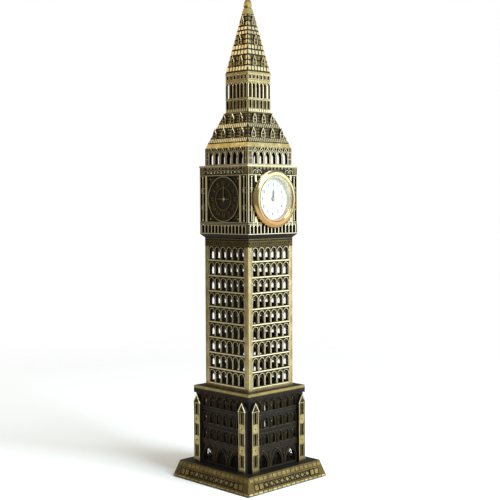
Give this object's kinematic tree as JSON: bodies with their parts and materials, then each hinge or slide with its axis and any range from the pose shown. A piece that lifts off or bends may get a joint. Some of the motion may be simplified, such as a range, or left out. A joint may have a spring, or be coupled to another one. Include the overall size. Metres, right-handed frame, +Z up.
{
  "type": "clock tower souvenir",
  "caption": "Hollow cast clock-tower souvenir in antique brass finish, on a sloped plinth, with a push-in quartz clock in its front face.",
  "frame": {"origin": "centre of the pad's underside, where the tower stands on a table", "axes": "+Z up; -Y is the front, out of the wall that holds the clock insert; +X is to the right seen from the front"},
  "size_m": [0.052, 0.052, 0.2272],
  "materials": {
    "antique_brass": "antique plated zinc casting, rubbed bright on raised parts and dark in the recesses",
    "polished_gold": "polished gold plate",
    "clear_glass": "clear, polished",
    "white_dial": "printed white",
    "blued_hands": "satin black",
    "black_plastic": "moulded black",
    "satin_steel": "satin",
    "plated_steel": "zinc plated",
    "movement_brass": "machined",
    "copper_wire": "enamelled wire",
    "black_rubber": "moulded, matt"
  },
  "bodies": {
    "root": {"base_pad": "black_rubber", "base_plate": "plated_steel", "base_screws": "plated_steel", "belfry_wall_back": "antique_brass", "belfry_wall_front": "antique_brass", "belfry_wall_left": "antique_brass", "belfry_wall_right": "antique_brass", "clock_corbel": "antique_brass", "clock_ledge": "antique_brass", "clock_wall_back": "antique_brass", "clock_wall_front": "antique_brass", "clock_wall_left": "antique_brass", "clock_wall_right": "antique_brass", "eave": "antique_brass", "finial": "antique_brass", "lantern_cornice": "antique_brass", "lantern_wall_back": "antique_brass", "lantern_wall_front": "antique_brass", "lantern_wall_left": "antique_brass", "lantern_wall_right": "antique_brass", "lower_cornice": "antique_brass", "lower_wall_back": "antique_brass", "lower_wall_front": "antique_brass", "lower_wall_left": "antique_brass", "lower_wall_right": "antique_brass", "plinth": "antique_brass", "roof_slope_back": "antique_brass", "roof_slope_front": "antique_brass", "roof_slope_left": "antique_brass", "roof_slope_right": "antique_brass", "shaft_wall_back": "antique_brass", "shaft_wall_front": "antique_brass", "shaft_wall_left": "antique_brass", "shaft_wall_right": "antique_brass", "spire": "antique_brass"},
    "insert": {"insert_bezel": "polished_gold", "insert_lens": "clear_glass", "insert_dial": "white_dial", "insert_case": "black_plastic", "insert_grip_ring": "black_plastic", "movement": "movement_brass", "button_cell": "satin_steel", "motor_coil": "copper_wire"},
    "case_lid": {"insert_case_lid": "satin_steel"},
    "minute_hand": {"cannon_pinion": "movement_brass", "minute_hand": "blued_hands"},
    "hour_hand": {"hour_wheel": "movement_brass", "hour_hand": "blued_hands"},
    "minute_wheel": {"minute_wheel": "movement_brass"},
    "setting_lever": {"setting_lever": "satin_steel"},
    "crown": {"setting_crown": "satin_steel"}
  },
  "joints": [
    {"name": "insert_pull", "type": "slide", "parent": "root", "child": "insert", "axis": [0, -1, 0], "range_m": [0, 0.015]},
    {"name": "case_lid_pull", "type": "slide", "parent": "insert", "child": "case_lid", "axis": [0, 1, 0], "range_m": [0, 0.003]},
    {"name": "minute_hand_turn", "type": "hinge", "parent": "insert", "child": "minute_hand", "pos_m": [0, -0.01725, 0.1328], "axis": [0, 1, 0], "continuous": true},
    {"name": "hour_hand_turn", "type": "hinge", "parent": "insert", "child": "hour_hand", "pos_m": [0, -0.01675, 0.1328], "axis": [0, 1, 0], "continuous": true},
    {"name": "minute_wheel_turn", "type": "hinge", "parent": "insert", "child": "minute_wheel", "pos_m": [0, -0.01525, 0.1298], "axis": [0, 1, 0], "continuous": true},
    {"name": "crown_pull", "type": "slide", "parent": "insert", "child": "setting_lever", "axis": [1, 0, 0], "range_m": [0, 0.0006]},
    {"name": "crown_turn", "type": "hinge", "parent": "setting_lever", "child": "crown", "pos_m": [0.009, -0.01145, 0.1328], "axis": [1, 0, 0], "continuous": true}
  ],
  "couplings": [
    {"joint": "minute_wheel_turn", "follows": "minute_hand_turn", "ratio": -0.33333},
    {"joint": "hour_hand_turn", "follows": "minute_hand_turn", "ratio": 0.083333}
  ]
}
